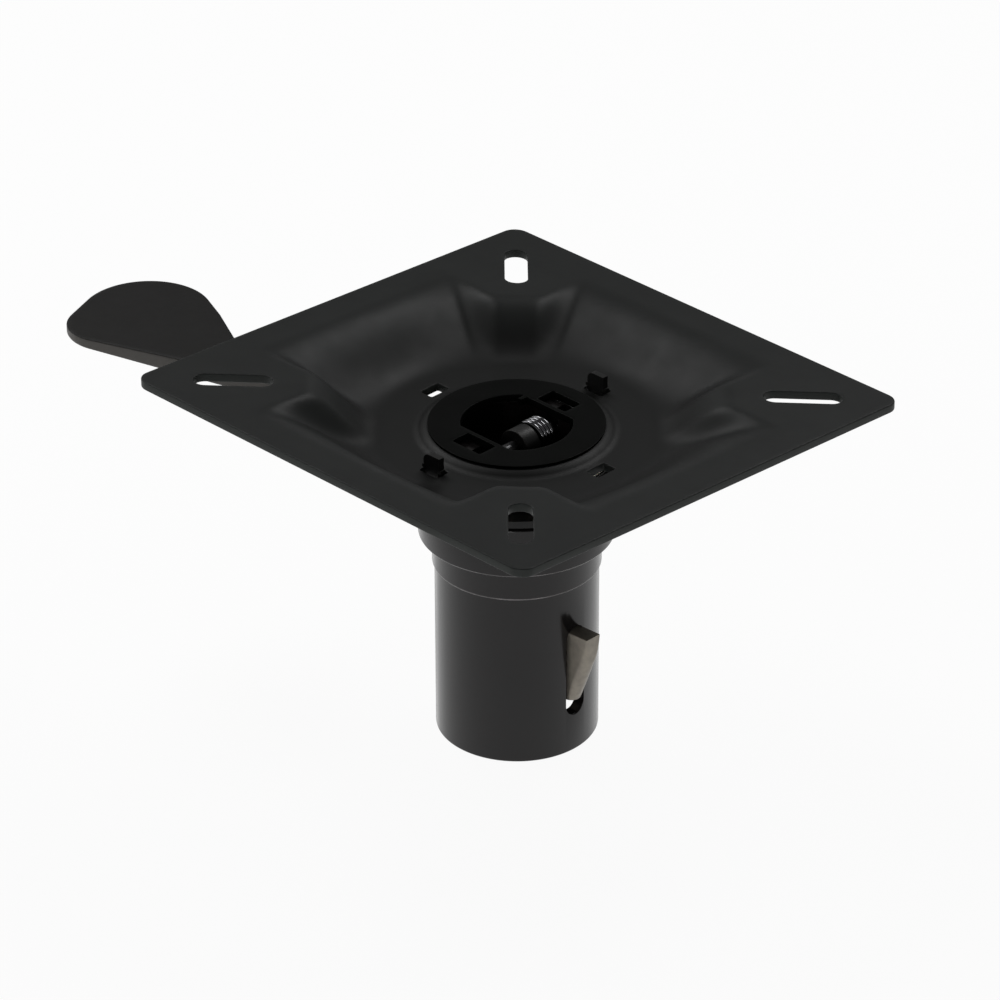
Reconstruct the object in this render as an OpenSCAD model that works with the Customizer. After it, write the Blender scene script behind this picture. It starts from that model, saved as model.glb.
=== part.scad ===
// Swivel seat mount for a boat: a stamped square plate that turns on a moulded
// plug-in stem, with a lift lever that locks the swivel and a spring latch that
// holds the stem in its post.
// Millimetres. The origin is on the swivel axis at the stem's bottom face, +Z is up,
// +X points to the latch and the front of the seat is towards -Y.

/* [Seat plate] */
// Side of the square plate
plate_w = 177.8; // [165:0.1:190]
// Thickness of the plate's sheet
plate_t = 3; // [2:0.1:4]
// Radius of the plate's corners
plate_corner_r = 5.5; // [3:0.5:14]
// Height of the rim's top face over the stem's bottom face, at the swivel axis
plate_h = 127.4; // [125:0.1:132]
// Lean of the rim, which raises the front of the seat, in degrees
plate_lean = 3.2; // [0:0.1:5]
// Distance between the centres of neighbouring bolt slots
slot_pitch = 132; // [126:0.5:138]
// Length of each bolt slot from end to end
slot_l = 26; // [18:0.5:30]
// Width of each bolt slot
slot_w = 7.9; // [6:0.1:9]

/* [Dish] */
// Height of the dish floor's top face over the stem's bottom face
floor_h = 112.4; // [111.5:0.1:114]
// Radius of the flat dish floor
floor_r = 45; // [44:0.5:50]
// Distance from the axis to the dish's straight sides
dish_half = 77.5; // [72:0.5:80]
// Reach of the eight pressed lobes beside the slots
lobe_r = 89.5; // [84:0.5:92]
// Reach of the dish in line with each slot
tongue_r = 71; // [66:0.5:76]
// Half angle of the flat tongue that carries a slot
tongue_a = 5; // [3:0.5:8]
// Angle from a slot's line to the middle of the lobe beside it
lobe_a = 17; // [14:0.5:20]

/* [Windows and lever ears] */
// Distance from the axis to the middle of each window in the dish floor
window_r = 38.3; // [38:0.1:39]
// Size of a window along the radius
window_l = 5.2; // [5:0.1:5.6]
// Size of a window across the radius
window_w = 8; // [7.6:0.1:9]
// Play of a lever ear in its window, on each side
ear_play = 0.4; // [0.3:0.05:0.6]
// Thickness of a lever ear
ear_t = 2.2; // [1.8:0.1:2.6]
// Height of a lever ear over the dish floor
ear_h = 6; // [4:0.5:8]

/* [Stem] */
// Radius of the stem's tube
tube_r = 27.5; // [27:0.1:28]
// Radius of the stem's bore
bore_r = 23.5; // [22.5:0.1:24]
// Height of the step ring's bottom edge
ring_h = 63.7; // [60:0.1:68]
// Radius of the step ring
ring_r = 28.3; // [28:0.1:29]
// Height of the collar's bottom edge
collar_h = 75.2; // [72:0.1:80]
// Radius of the collar
collar_r = 32.9; // [31:0.1:33.5]
// Chamfer on the bottom edges of the ring and the collar
edge_c = 0.5; // [0.2:0.1:0.8]
// Radius of the neck that the plate turns on
neck_r = 26.2; // [25.9:0.1:26.6]
// Radius of the locking flange
flange_r = 33.5; // [33:0.1:34]
// Height of the locking flange from its bottom face to its top face
flange_t = 7.1; // [6:0.1:7.5]
// Radius of the relief below the locking flange
relief_r = 28.6; // [28:0.1:29]
// Height of the relief below the locking flange
relief_t = 6.4; // [6:0.1:8]
// Thickness of the bearing washer between the flange and the dish floor
washer_t = 2.8; // [2:0.1:3.2]
// Length of each boss down the bore
boss_l = 16; // [13:0.5:20]
// Length of the latch pin in each of its saddles
saddle_l = 5.6; // [4:0.1:6.4]
// Number of lock notches in the flange
notch_n = 12; // [12, 24]
// Width of a lock notch
notch_w = 7.4; // [6.5:0.1:7.8]
// Height of a lock notch
notch_t = 2.9; // [2.7:0.1:3.4]

/* [Latch] */
// Height of the latch slot's middle
latch_slot_h = 31.2; // [30.5:0.1:32]
// Length of the latch slot from end to end
latch_slot_l = 33.8; // [33:0.1:36]
// Width of the latch slot
latch_slot_w = 8.3; // [8:0.1:9]
// Thickness of the latch, whose nose is fully round
latch_t = 6.35; // [5.5:0.05:6.8]
// Distance of the latch pin from the swivel axis, towards the latch
pin_x = 2; // [1:0.1:3]
// Depth of the latch pin's axis below the neck's top face
pin_drop = 5; // [4.8:0.1:5.4]
// Radius of the latch pin
pin_r = 2.5; // [2:0.1:2.6]
// Radius of the latch's eye around its pin
eye_r = 6.2; // [5.8:0.1:6.4]
// Drop of the arm's hip below the pin
hip_drop = 20; // [16:0.5:24]
// Drop of the arm's knee below the pin
knee_drop = 50; // [46:0.5:54]
// Depth of the arm behind the bore's wall, at the knee
arm_d = 12; // [10:0.5:14]
// Depth of the latch's heel behind the bore's wall
heel_d = 8; // [6:0.5:10]
// Length of the hub that the latch spring is wound round
hub_l = 8.2; // [7.6:0.1:9]
// Reach of the latch's tip from the swivel axis
tip_x = 35.6; // [33:0.1:37]
// Height of the latch's flat top
tip_h = 46.3; // [45:0.1:46.8]
// Rise of the tip's crown over the flat top
crown_t = 1.2; // [0.6:0.1:1.6]
// Height of the latch's lower end
nose_h = 20.3; // [19:0.1:22]
// Distance of the nose from the swivel axis at its lower end
nose_x = 28.6; // [28:0.1:29.5]
// Slant of the nose from upright, in degrees
nose_slant = 20.8; // [18:0.1:23]

/* [Latch spring] */
// Mean radius of the latch spring's coils
coil_r = 6.1; // [5.9:0.1:6.3]
// Radius of the latch spring's wire
coil_wire_r = 0.7; // [0.5:0.05:0.8]
// Number of whole turns of the latch spring
coil_turns = 3; // [3, 4]
// Drop of the spring's hook on the arm below the pin
hook_drop = 17; // [14:0.5:19]
// Drop of the spring's foot on the bore below the pin
foot_drop = 22.5; // [20:0.5:26]
// Distance between the turns of the latch spring
coil_pitch = 1.5; // [1.45:0.05:1.7]

/* [Retainer cap] */
// Radius of the cap's disc
cap_r = 29.4; // [28.5:0.1:31]
// Thickness of the cap's disc
cap_t = 2.7; // [2:0.1:3.5]
// Radius of the cap's opening
cap_hole_r = 18.5; // [17:0.1:19.5]
// Half width of the cap's opening between its flats
cap_flat = 14.4; // [14:0.1:14.8]
// Thickness of the wall between the opening and a cap window
cap_bar = 1.8; // [1.4:0.1:2.2]
// Width of a cap window along X
cap_window_w = 12.6; // [11:0.1:14]
// Distance of the opening's small rib from the swivel axis
rib_x = 9.6; // [8:0.1:10.4]
// Width of the opening's small rib
rib_w = 1.6; // [1:0.1:2.2]
// Reach of the small rib into the opening
rib_l = 2.6; // [1.5:0.1:3.5]
// Length of the cap's snap skirts below the disc
skirt_l = 12.5; // [10:0.1:14]
// Wall of the cap's snap skirts
skirt_t = 2.2; // [1.8:0.1:2.6]
// Reach of the snap bead into its groove
bead = 0.6; // [0.4:0.1:0.8]

/* [Lever] */
// Thickness of the lever's sheet
lever_t = 2.5; // [2:0.1:2.6]
// Inner radius of the lever's ring
lever_in_r = 34.8; // [34.7:0.1:35.4]
// Outer radius of the lever's ring
lever_out_r = 42.5; // [42:0.1:43]
// Reach of the lock tooth into the flange, inwards from the ring
tooth_l = 4.4; // [4:0.1:4.6]
// Play of the lock tooth in its notch, on each side
tooth_play = 0.4; // [0.2:0.05:0.6]
// Direction of the arm from +X, in degrees
arm_a = 200.6; // [190:0.1:212]
// Sideways offset of the arm from the radius
arm_off = -5.6; // [-7:0.1:-3]
// Width of the arm
arm_w = 14; // [12:0.5:16]
// Distance from the axis to the foot of the arm's rise
rise_start = 52; // [48:0.5:56]
// Distance from the axis to the top of the arm's rise
rise_end = 76; // [72:0.5:80]

/* [Grip] */
// Height of the grip's top face
grip_h = 114.5; // [113:0.1:115.5]
// Distance from the axis to the grip's root
grip_start = 82; // [80:0.5:86]
// Distance from the axis to the grip's tip
grip_end = 170.7; // [160:0.1:176]
// Thickness of the grip at its tip
grip_tip_t = 2.8; // [2.6:0.1:3.5]
// Thickness of the grip at its root
grip_root_t = 8; // [6.8:0.1:9]
// Length of the arm's blade inside the grip
blade_l = 42; // [30:1:44]
// Thickness of the grip over the blade
blade_cover = 1.2; // [1:0.1:1.4]
// Sideways place of the grip's straight edge
grip_edge = 4.4; // [2:0.1:7]
// Width of the grip at its root
grip_root_w = 20; // [18:0.5:24]
// Width of the grip's half-moon
grip_w = 47.5; // [42:0.1:52]
// Radius of the grip's corner at its tip
grip_tip_r = 14; // [8:0.5:16]
// Radius of the half-moon's outer round
moon_r = 22.5; // [20:0.5:24]
// Distance from the grip's tip back to the middle of the half-moon's shoulder
shoulder_l = 38.7; // [34:0.1:42]
// Radius of the half-moon's shoulder
shoulder_r = 12; // [8:0.5:15]
// Distance from the grip's tip back to the middle of the half-moon's waist
waist_l = 50.7; // [46:0.1:54]
// Radius of the half-moon's waist
waist_r = 8; // [5:0.5:9]
// Distance of the waist's middle from the half-moon's far edge
waist_rise = 29; // [26:0.5:32]

/* [Lever spring] */
// Direction of the lever spring from +X, in degrees
spring_a = 215; // [208:1:230]
// Mean radius of the lever spring
spring_r = 3; // [2.4:0.1:3.3]
// Radius of the lever spring's wire
spring_wire_r = 0.45; // [0.3:0.05:0.5]
// Number of turns of the lever spring
spring_turns = 3.5; // [3:0.5:4.5]

/* [Clearances] */
// Radial play of a turning shaft in its bore
run_play = 0.06; // [0.02:0.01:0.1]
// Gap between faces that slide past each other
face_play = 0.1; // [0.05:0.01:0.2]
// Gap round a piece that is put in its seat
seat_play = 0.05; // [0.02:0.01:0.1]

/* [Hidden] */
$fn = 96;
// Overshoot of a cutting shape past the face that it cuts
cut = 1;
// Height of the cut for the bolt slots, from the dish floor to over the leaning rim
slot_cut_l = plate_h - floor_h + plate_w;
// Heights up the stem, from the dish floor down
floor_low = floor_h - plate_t;
neck_top = floor_h + face_play;
washer_top = floor_low - face_play;
flange_top = washer_top - washer_t;
flange_low = flange_top - flange_t;
relief_low = flange_low - relief_t;
// The sheet leans about the middle of the dish floor, which moves its rim back
rim_shift = (plate_h - floor_h) * sin(plate_lean);
// The latch pin hangs below the neck's top face
pin_h = neck_top - pin_drop;
// The latch's arm turns down at the hip and at the knee
hip_h = pin_h - hip_drop;
knee_h = pin_h - knee_drop;
boss_in = cap_flat + 0.2;
boss_wall = 2;
boss_low = neck_top - boss_l;
boss_back = pin_x - eye_r - boss_wall;
boss_front = pin_x + eye_r + boss_wall;
pin_end = boss_in + saddle_l;
// Gap between the latch spring and the latch's hub and arm
coil_play = 0.3;
// Snap bead on the skirts and its groove in the bore
bead_h = neck_top - skirt_l + 2;
bead_t = 1.6;
skirt_out_r = bore_r - seat_play;
skirt_half_w = 12;
// The lever's ring lies level with the flange's notches
lever_low = flange_low + 0.2;
lever_top = lever_low + lever_t;
ear_w = window_w - 2 * ear_play;
ear_root_w = ear_w + 4;
ear_root_top = floor_low - 1.4;
ear_bead_w = window_w + 0.6;
ear_bead_low = floor_h + 0.5;
ear_bead_t = 1.2;
ear_corner_r = 2.6;
ear_soft = 0.2;
tooth_w = notch_w - 2 * tooth_play;
tooth_in_r = lever_in_r - tooth_l;
// The notches leave a small step over the relief, clear of the tooth as it swings in
notch_in_r = relief_r + 0.3;
// The arm's foot starts in the middle of the ring, and its blade ends inside the grip
foot_in = (lever_in_r + lever_out_r) / 2;
blade_top = grip_h - blade_cover;
blade_end = grip_start + blade_l;
blade_low = blade_top - lever_t;
pocket_play = seat_play;

function unit(v) = v / norm(v);
function smooth(t) = (1 - cos(180 * min(max(t, 0), 1))) / 2;

// A round wire along a path; ref is a direction that the path never takes
module wire(path, r, ref, sides = 8) {
    n = len(path);
    points = [for (i = [0 : n - 1])
        let (t = unit(path[min(i + 1, n - 1)] - path[max(i - 1, 0)]),
             a = unit(cross(t, ref)),
             b = cross(a, t))
        for (k = [0 : sides - 1])
            path[i] + r * (cos(360 * k / sides) * a + sin(360 * k / sides) * b)];
    walls = [for (i = [0 : n - 2]) for (k = [0 : sides - 1])
        let (m = (k + 1) % sides)
        [i * sides + k, i * sides + m, (i + 1) * sides + m, (i + 1) * sides + k]];
    ends = [[for (k = [sides - 1 : -1 : 0]) k],
            [for (k = [0 : sides - 1]) (n - 1) * sides + k]];
    polyhedron(points, concat(walls, ends), convexity = 10);
}

// A bar with round ends, standing from z = 0 to z = h
module slot_bar(l, w, h) {
    for (s = [-1, 1]) translate([s * (l - w) / 2, 0, 0]) cylinder(d = w, h = h);
    translate([-(l - w) / 2, -w / 2, 0]) cube([l - w, w, h]);
}

// The dish's outline at the angle d from the nearest slot's line
function dish_out(d) =
    let (side = min(dish_half / cos(45 - d), lobe_r))
    tongue_r + (side - tongue_r) * smooth((d - tongue_a) / (lobe_a - tongue_a));

// The plate's outline at the angle d from the nearest slot's line: straight side, round corner
function edge_out(d) =
    let (half = plate_w / 2,
         c = (half - plate_corner_r) * sqrt(2),
         corner_a = atan(half / (half - plate_corner_r)) - 45)
    abs(d) > corner_a
        ? half / cos(45 - abs(d))
        : c * cos(d) + sqrt(pow(plate_corner_r, 2) - pow(c * sin(d), 2));

// Angles round the plate, closer together near the corners
octant_n = 16;
plate_angles = [for (q = [0 : 3]) each concat(
    [for (i = [0 : octant_n - 1]) q * 90 + 45 * (1 - pow(1 - i / octant_n, 1.5))],
    [for (i = [0 : octant_n - 1]) q * 90 + 45 + 45 * pow(i / octant_n, 1.5)])];
dish_n = 10;

// A top face point of the plate: j runs from the floor's edge over the wall to the plate's edge
function plate_point(a, j) =
    let (d = abs(((a + 360) % 90) - 45),
         r = j > dish_n ? edge_out(d) : floor_r + (dish_out(d) - floor_r) * j / dish_n,
         x = r * cos(a),
         y = r * sin(a),
         s = smooth(j / dish_n),
         rim = plate_h - y * sin(plate_lean))
    [x, y * (1 + s * (cos(plate_lean) - 1)) + s * rim_shift, floor_h + s * (rim - floor_h)];

// The pressed sheet before it is pierced
module plate_sheet() {
    m = len(plate_angles);
    rings = dish_n + 2;
    top = [for (j = [0 : rings - 1]) for (a = plate_angles) plate_point(a, j)];
    low = [for (p = top) p - [0, 0, plate_t]];
    n = len(top);
    faces = concat(
        [[for (i = [m - 1 : -1 : 0]) i]],
        [[for (i = [0 : m - 1]) n + i]],
        [for (j = [0 : rings - 2]) for (i = [0 : m - 1])
            let (k = (i + 1) % m)
            each [[j * m + i, j * m + k, (j + 1) * m + k],
                  [j * m + i, (j + 1) * m + k, (j + 1) * m + i]]],
        [for (j = [0 : rings - 2]) for (i = [0 : m - 1])
            let (k = (i + 1) % m)
            each [[n + j * m + i, n + (j + 1) * m + k, n + j * m + k],
                  [n + j * m + i, n + (j + 1) * m + i, n + (j + 1) * m + k]]],
        [for (i = [0 : m - 1])
            let (k = (i + 1) % m, e = (rings - 1) * m)
            [e + i, e + k, n + e + k, n + e + i]]);
    polyhedron(concat(top, low), faces, convexity = 6);
}

module seat_plate() {
    color([0.13, 0.14, 0.135]) difference() {
        plate_sheet();
        translate([0, 0, floor_low - cut]) cylinder(r = neck_r + run_play, h = plate_t + 2 * cut);
        for (a = [0 : 90 : 270]) rotate([0, 0, a]) {
            translate([window_r - window_l / 2, -window_w / 2, floor_low - cut])
                cube([window_l, window_w, plate_t + 2 * cut]);
        }
        for (a = [45 : 90 : 315]) translate([0, rim_shift, floor_h]) rotate([0, 0, a])
            translate([slot_pitch / sqrt(2), 0, 0]) slot_bar(slot_l, slot_w, slot_cut_l);
    }
}

// The stem's outline, turned about the swivel axis
module stem_profile() {
    polygon([[bore_r, 0], [tube_r - edge_c, 0], [tube_r, edge_c], [tube_r, ring_h],
             [ring_r - edge_c, ring_h], [ring_r, ring_h + edge_c], [ring_r, collar_h],
             [collar_r - edge_c, collar_h], [collar_r, collar_h + edge_c], [collar_r, relief_low],
             [relief_r, relief_low], [relief_r, flange_low], [flange_r, flange_low],
             [flange_r, flange_top], [neck_r, flange_top], [neck_r, neck_top],
             [bore_r, neck_top], [bore_r, bead_h + bead_t + seat_play],
             [bore_r + bead, bead_h + bead_t / 2], [bore_r, bead_h - seat_play]]);
}

// The two bosses inside the neck that carry the latch pin
module pin_bosses() {
    intersection() {
        translate([0, 0, boss_low]) cylinder(r = bore_r + 0.5, h = neck_top - boss_low);
        for (s = [-1, 1])
            translate([boss_back, s > 0 ? boss_in : -boss_in - bore_r, boss_low])
                cube([boss_front - boss_back, bore_r, neck_top - boss_low]);
    }
}

// The saddles that the latch pin drops into from above
module pin_saddles() {
    w = pin_r + seat_play;
    translate([pin_x, pin_end + seat_play, pin_h]) rotate([90, 0, 0])
        cylinder(r = w, h = 2 * (pin_end + seat_play));
    translate([pin_x - w, -pin_end - seat_play, pin_h])
        cube([2 * w, 2 * (pin_end + seat_play), neck_top - pin_h + cut]);
}

module stem() {
    color([0.09, 0.085, 0.085]) difference() {
        union() {
            rotate_extrude() stem_profile();
            pin_bosses();
        }
        pin_saddles();
        translate([0, 0, latch_slot_h]) rotate([0, 90, 0])
            slot_bar(latch_slot_l, latch_slot_w, collar_r);
        for (i = [0 : notch_n - 1]) rotate([0, 0, 360 * i / notch_n])
            translate([notch_in_r, -notch_w / 2, flange_low - cut])
                cube([flange_r, notch_w, notch_t + cut]);
    }
}

module bearing_washer() {
    color([0.8, 0.79, 0.75]) translate([0, 0, flange_top]) difference() {
        cylinder(r = flange_r - 0.5, h = washer_t);
        translate([0, 0, -cut]) cylinder(r = neck_r + seat_play, h = washer_t + 2 * cut);
    }
}

// One snap skirt's outline with its bead, turned about the swivel axis
module skirt_profile() {
    low = neck_top - skirt_l;
    polygon([[skirt_out_r - skirt_t, low], [skirt_out_r, low], [skirt_out_r, bead_h],
             [skirt_out_r + bead, bead_h + bead_t / 2], [skirt_out_r, bead_h + bead_t],
             [skirt_out_r, neck_top], [skirt_out_r - skirt_t, neck_top]]);
}

module retainer_cap() {
    window_in = cap_flat + cap_bar;
    color([0.07, 0.07, 0.07]) union() {
        difference() {
            translate([0, 0, neck_top]) cylinder(r = cap_r, h = cap_t);
            intersection() {
                translate([0, 0, neck_top - cut]) cylinder(r = cap_hole_r, h = cap_t + 2 * cut);
                translate([-cap_r, -cap_flat, neck_top - cut])
                    cube([2 * cap_r, 2 * cap_flat, cap_t + 2 * cut]);
            }
            for (s = [0, 180]) rotate([0, 0, s])
                translate([-cap_window_w / 2, window_in, neck_top - cut])
                    cube([cap_window_w, bore_r - window_in, cap_t + 2 * cut]);
        }
        intersection() {
            rotate_extrude() skirt_profile();
            translate([-cap_r, -skirt_half_w, neck_top - skirt_l])
                cube([2 * cap_r, 2 * skirt_half_w, skirt_l]);
        }
        // Short rib that stands into the opening's corner
        intersection() {
            translate([0, 0, neck_top]) cylinder(r = cap_hole_r + cut, h = cap_t);
            translate([-rib_x - rib_w, cap_flat - rib_l, neck_top])
                cube([rib_w, rib_l + cap_bar / 2, cap_t]);
        }
        // Feet that hold the latch pin down in its saddles
        for (s = [-1, 1])
            translate([pin_x - pin_r, s > 0 ? boss_in : -boss_in - cap_bar + 0.4,
                       pin_h + pin_r + seat_play])
                cube([2 * pin_r, cap_bar - 0.4, neck_top - pin_h - pin_r + 0.5]);
    }
}

// The lever's ring with its tooth
module lever_ring() {
    translate([0, 0, lever_low]) {
        difference() {
            cylinder(r = lever_out_r, h = lever_t);
            translate([0, 0, -cut]) cylinder(r = lever_in_r, h = lever_t + 2 * cut);
        }
        translate([tooth_in_r, -tooth_w / 2, 0]) cube([foot_in - tooth_in_r, tooth_w, lever_t]);
    }
}

// The side view of the arm from its flat foot on the ring up to the end of its blade
module arm_profile() {
    polygon([[foot_in, lever_low], [rise_start, lever_low], [rise_end, blade_low],
             [blade_end, blade_low], [blade_end, blade_top], [rise_end - 1, blade_top],
             [rise_start - 1, lever_top], [foot_in, lever_top]]);
}

// One ear: a wide root under the floor, a neck through the window and an upset bead over it.
// Its rocker is round about the line that the lever rocks on, so it keeps its play as it tilts.
module lever_ear() {
    base = lever_top - lever_t / 2;
    top = floor_h + ear_h;
    bead_top = ear_bead_low + ear_bead_t;
    root = ear_root_w / 2;
    neck = ear_w / 2;
    waist = neck * cos(30);
    bead_x = ear_bead_w / 2;
    corner = [for (a = [90 : 15 : 180])
        [ear_corner_r - neck + ear_corner_r * cos(a), top - ear_corner_r + ear_corner_r * sin(a)]];
    translate([0, window_r + ear_t / 2, 0]) rotate([90, 0, 0]) linear_extrude(ear_t)
        polygon(concat(
            [[-root, base], [root, base], [root, ear_root_top], [waist, ear_root_top],
             [waist, ear_bead_low], [bead_x, ear_bead_low], [bead_x, bead_top], [neck, bead_top],
             [neck, top]],
            corner,
            [[-neck, bead_top], [-bead_x, bead_top], [-bead_x, ear_bead_low],
             [-waist, ear_bead_low], [-waist, ear_root_top], [-root, ear_root_top]]));
    translate([0, window_r + ear_t / 2 - ear_soft, floor_h]) rotate([90, 0, 0])
        cylinder(r = neck, h = ear_t - 2 * ear_soft);
}

module lock_lever() {
    color([0.12, 0.12, 0.12]) union() {
        lever_ring();
        rotate([0, 0, arm_a]) translate([0, arm_off + arm_w / 2, 0]) rotate([90, 0, 0])
            linear_extrude(arm_w) arm_profile();
        lever_ear();
        mirror([0, 1, 0]) lever_ear();
    }
}

// The grip seen from above: a straight edge, a round tip and a half-moon that swells to one side
module grip_outline() {
    low = grip_edge - grip_w;
    intersection() {
        hull() {
            translate([grip_end - grip_tip_r, grip_edge - grip_tip_r]) circle(grip_tip_r);
            translate([grip_end - moon_r, low + moon_r]) circle(moon_r);
            translate([grip_end - shoulder_l, low + moon_r]) circle(shoulder_r);
            translate([grip_end - waist_l, low + waist_rise]) circle(waist_r);
            translate([grip_start + grip_root_w, grip_edge - grip_root_w / 2])
                circle(grip_root_w / 2);
        }
        translate([grip_start, low]) square([grip_end, grip_w]);
    }
    translate([grip_start, grip_edge - grip_root_w]) square([grip_root_w, grip_root_w]);
}

module handle_grip() {
    slope = atan((grip_root_t - grip_tip_t) / (grip_end - grip_start));
    color([0.1, 0.095, 0.09]) rotate([0, 0, arm_a]) difference() {
        translate([0, 0, grip_h - grip_root_t]) linear_extrude(grip_root_t) grip_outline();
        translate([grip_start, -grip_w - 10, grip_h - grip_root_t]) rotate([0, -slope, 0])
            translate([-20, 0, -20]) cube([grip_end, 2 * grip_w, 20]);
        translate([grip_start - cut, arm_off - arm_w / 2 - pocket_play, blade_low - pocket_play])
            cube([blade_end - grip_start + cut + pocket_play, arm_w + 2 * pocket_play,
                  lever_t + 2 * pocket_play]);
    }
}

module lever_spring() {
    r = (lever_in_r + lever_out_r) / 2;
    low = lever_top + spring_wire_r + seat_play;
    high = floor_low - spring_wire_r - seat_play;
    steps = 14;
    n = spring_turns * steps;
    path = [for (i = [0 : n])
        let (a = 360 * i / steps, t = i / n)
        [spring_r * cos(a), spring_r * sin(a), low + (high - low) * t]];
    color([0.7, 0.7, 0.72]) translate([r * cos(spring_a), r * sin(spring_a), 0])
        wire(path, spring_wire_r, [0, 0, 1]);
}

// The latch's arm in the plane of the latch, without its round nose
module latch_arm_profile() {
    wall_x = sqrt(pow(bore_r, 2) - pow(latch_t / 2, 2)) - face_play;
    back = pin_x - eye_r;
    front = pin_x + eye_r;
    axis_dx = latch_t / 2 / cos(nose_slant);
    nose_top = nose_x + (tip_h - nose_h) * tan(nose_slant);
    translate([pin_x, pin_h]) circle(eye_r);
    polygon([[back, pin_h], [back, hip_h], [wall_x - arm_d, knee_h],
             [wall_x - heel_d, nose_h], [nose_x - axis_dx, nose_h],
             [nose_top - axis_dx, tip_h], [wall_x, tip_h], [wall_x, knee_h + arm_d / 2],
             [front, pin_h - eye_r * 1.5], [front, pin_h]]);
}

// The fully round nose, cut flat at the tip and crowned at its top
module latch_nose() {
    r = latch_t / 2 - seat_play;
    crown_r = latch_t * 0.7;
    crown_top = tip_h + crown_t;
    intersection() {
        translate([nose_x - r / cos(nose_slant), 0, nose_h]) rotate([0, nose_slant, 0])
            translate([0, 0, -r]) cylinder(r = r, h = tip_h);
        translate([nose_x - 3 * r, -latch_t, nose_h])
            cube([tip_x - nose_x + 3 * r, 2 * latch_t, crown_top - nose_h]);
        union() {
            translate([0, 0, crown_top - crown_r]) rotate([0, 90, 0]) cylinder(r = crown_r, h = tip_x);
            translate([0, -latch_t, nose_h]) cube([tip_x, 2 * latch_t, crown_top - crown_r - nose_h]);
        }
    }
}

module latch() {
    color([0.42, 0.4, 0.36]) difference() {
        union() {
            translate([0, latch_t / 2, 0]) rotate([90, 0, 0])
                linear_extrude(latch_t) latch_arm_profile();
            translate([pin_x, latch_t / 2 - 0.5, pin_h]) rotate([-90, 0, 0])
                cylinder(r = coil_r - coil_wire_r - coil_play, h = hub_l + 0.5);
            latch_nose();
        }
        translate([pin_x, bore_r, pin_h]) rotate([90, 0, 0])
            cylinder(r = pin_r + run_play, h = 2 * bore_r);
        // Flat that keeps the tip's face upright
        translate([tip_x, -latch_t, nose_h]) cube([latch_t, 2 * latch_t, tip_h]);
    }
}

module latch_pin() {
    color([0.6, 0.6, 0.6]) translate([pin_x, pin_end, pin_h]) rotate([90, 0, 0])
        cylinder(r = pin_r, h = 2 * pin_end);
}

module latch_spring() {
    y_start = latch_t / 2 + coil_wire_r + coil_play;
    y_end = y_start + coil_pitch * (coil_turns + 0.66);
    back = pin_x - eye_r;
    hook_x = back - coil_wire_r - seat_play;
    hook_h = pin_h - hook_drop;
    wall_x = -sqrt(pow(bore_r, 2) - pow(y_end, 2)) + coil_wire_r + 2 * seat_play;
    wall_h = pin_h - foot_drop;
    // The leg that bears on the bore leaves the coil along a tangent
    leg = [wall_x - pin_x, wall_h - pin_h];
    leave_a = atan2(leg.y, leg.x) + acos(coil_r / norm(leg)) - 360 * coil_turns;
    steps = round((180 - leave_a) / 20);
    coil = [for (i = [0 : steps])
        let (a = 180 + (leave_a - 180) * i / steps)
        [pin_x + coil_r * cos(a), y_start + (y_end - y_start) * i / steps, pin_h + coil_r * sin(a)]];
    bend = 2 * coil_wire_r;
    hook = [[hook_x, -latch_t / 2 + bend, hook_h], [hook_x, y_start - bend, hook_h],
            [hook_x, y_start - bend / 4, hook_h + bend / 4], [hook_x, y_start, hook_h + bend]];
    foot = [[wall_x, y_end, wall_h]];
    color([0.8, 0.8, 0.82]) wire(concat(hook, coil, foot), coil_wire_r, [0.3, 1, 0]);
}

stem();
retainer_cap();
bearing_washer();
seat_plate();
lock_lever();
handle_grip();
lever_spring();
latch();
latch_pin();
latch_spring();
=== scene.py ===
# A swivel seat mount for a boat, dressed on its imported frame. Lengths in the sections are
# in millimetres and turn to metres where a mesh is made. +X points to the latch, +Z is up.
import bpy
import bmesh
import math
import numpy as np
from mathutils import Matrix, Vector, kdtree
from mathutils.geometry import delaunay_2d_cdt


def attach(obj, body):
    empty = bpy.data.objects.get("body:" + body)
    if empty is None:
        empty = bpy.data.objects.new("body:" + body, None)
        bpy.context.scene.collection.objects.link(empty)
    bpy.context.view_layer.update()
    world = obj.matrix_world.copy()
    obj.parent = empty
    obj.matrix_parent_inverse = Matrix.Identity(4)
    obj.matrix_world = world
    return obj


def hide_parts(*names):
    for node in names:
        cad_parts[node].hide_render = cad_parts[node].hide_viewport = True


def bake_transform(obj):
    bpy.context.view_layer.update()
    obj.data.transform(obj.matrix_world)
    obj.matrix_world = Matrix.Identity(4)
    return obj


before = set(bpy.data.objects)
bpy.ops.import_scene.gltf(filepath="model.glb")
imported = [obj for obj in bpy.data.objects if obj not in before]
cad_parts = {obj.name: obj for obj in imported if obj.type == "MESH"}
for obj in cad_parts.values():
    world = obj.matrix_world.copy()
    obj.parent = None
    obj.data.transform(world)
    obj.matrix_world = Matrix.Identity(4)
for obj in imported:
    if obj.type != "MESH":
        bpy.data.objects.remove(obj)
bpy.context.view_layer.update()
scene = bpy.context.scene
MM = 0.001

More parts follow.
